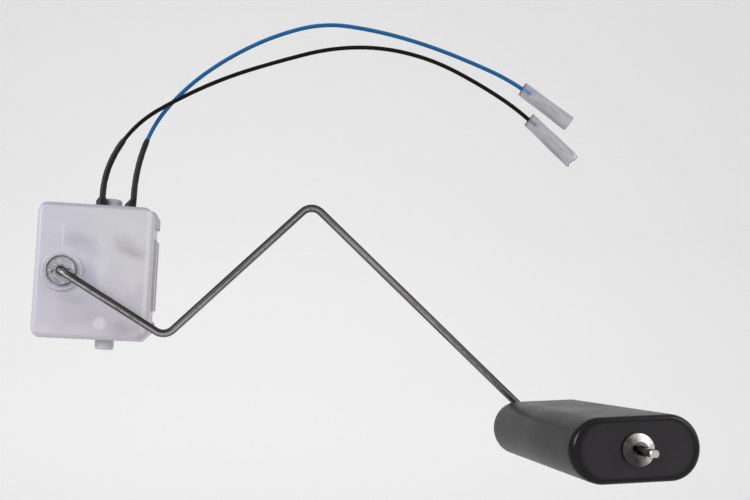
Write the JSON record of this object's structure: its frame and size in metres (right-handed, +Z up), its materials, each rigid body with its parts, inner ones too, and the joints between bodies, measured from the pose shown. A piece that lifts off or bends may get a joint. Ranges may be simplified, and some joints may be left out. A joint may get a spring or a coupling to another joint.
{
  "type": "level sensor",
  "caption": "Lever-arm fuel level sensor: a foam float on a bent steel rod turns a wiper over a resistor card inside a flat plastic case with soldered lead wires.",
  "frame": {"origin": "where the float arm's pivot axis meets the case's flat back face, the face that lies on the carrier", "axes": "+Y is the outward normal of the back face and the pivot axis, +Z up along the case's long side towards the terminals, +X right along the case's short side towards the float"},
  "size_m": [0.1881, 0.0903, 0.1467],
  "materials": {
    "cover": "milky, slightly translucent moulded plastic, satin",
    "card": "fired alumina ceramic, matt, off-white",
    "resistor_ink": "fired resistor ink, matt black",
    "conductor_ink": "fired silver conductor ink",
    "terminal": "tinned brass strip",
    "rod": "drawn steel rod, plated, satin",
    "push_nut": "spring steel, plated, slightly dull",
    "rotor": "moulded plastic, natural",
    "spring": "nickel silver sheet, bright",
    "contact": "palladium silver, polished",
    "float_foam": "closed-cell nitrile foam, satin skin",
    "blue_insulation": "blue insulation, satin",
    "black_insulation": "black insulation, satin",
    "heatshrink": "black heat-shrink, satin",
    "receptacle": "tinned brass",
    "sleeve": "soft translucent vinyl"
  },
  "bodies": {
    "housing": {"front_cover": "cover", "rear_cover": "cover", "resistor_card": "card", "resistor_track": "resistor_ink", "collector_track": "conductor_ink", "signal_terminal": "terminal", "ground_terminal": "terminal", "blue_wire": "blue_insulation", "black_wire": "black_insulation", "blue_heatshrink": "heatshrink", "black_heatshrink": "heatshrink", "blue_receptacle": "receptacle", "black_receptacle": "receptacle", "blue_sleeve": "sleeve", "black_sleeve": "sleeve"},
    "arm": {"float_arm": "rod", "pivot_retainer": "push_nut", "rotor": "rotor", "wiper_spring": "spring", "short_finger_contact": "contact", "long_finger_contact": "contact", "float_retainer": "push_nut"},
    "float": {"float": "float_foam"}
  },
  "joints": [
    {"name": "arm_swing", "type": "hinge", "parent": "housing", "child": "arm", "pos_m": [0, -0.006, 0], "axis": [0, -1, 0], "range_deg": [0, 71.5]},
    {"name": "float_spin", "type": "hinge", "parent": "arm", "child": "float", "pos_m": [0.1613, -0.052, -0.0439], "axis": [0, -1, 0], "continuous": true}
  ]
}
